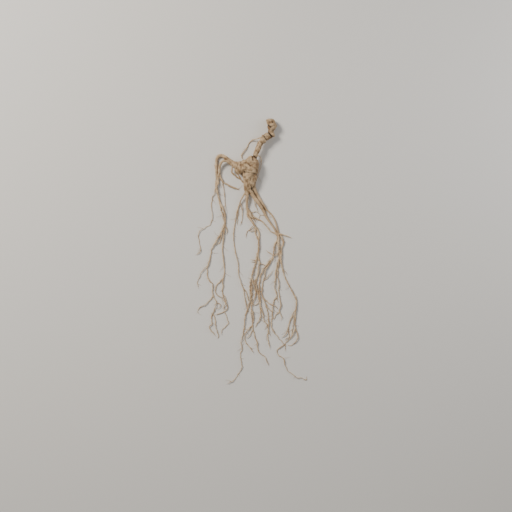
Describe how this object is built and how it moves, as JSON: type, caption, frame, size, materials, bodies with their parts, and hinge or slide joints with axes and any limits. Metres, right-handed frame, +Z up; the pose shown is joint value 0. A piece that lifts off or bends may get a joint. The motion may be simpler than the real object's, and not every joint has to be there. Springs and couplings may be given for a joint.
{
  "type": "ginseng root",
  "caption": "Dried ginseng root lying flat: knobbly neck with stem scars, ringed body with one arm and forked legs, and a long spray of fine roots",
  "frame": {"origin": "the small flat spot under the body, on which the root rests", "axes": "+Z up from the surface it lies on, +Y from the body towards the neck, +X to the right as seen from above"},
  "size_m": [0.1123, 0.2653, 0.0128],
  "materials": {
    "root_skin": "matte"
  },
  "bodies": {
    "root": {"ginseng_root": "root_skin"}
  },
  "joints": []
}
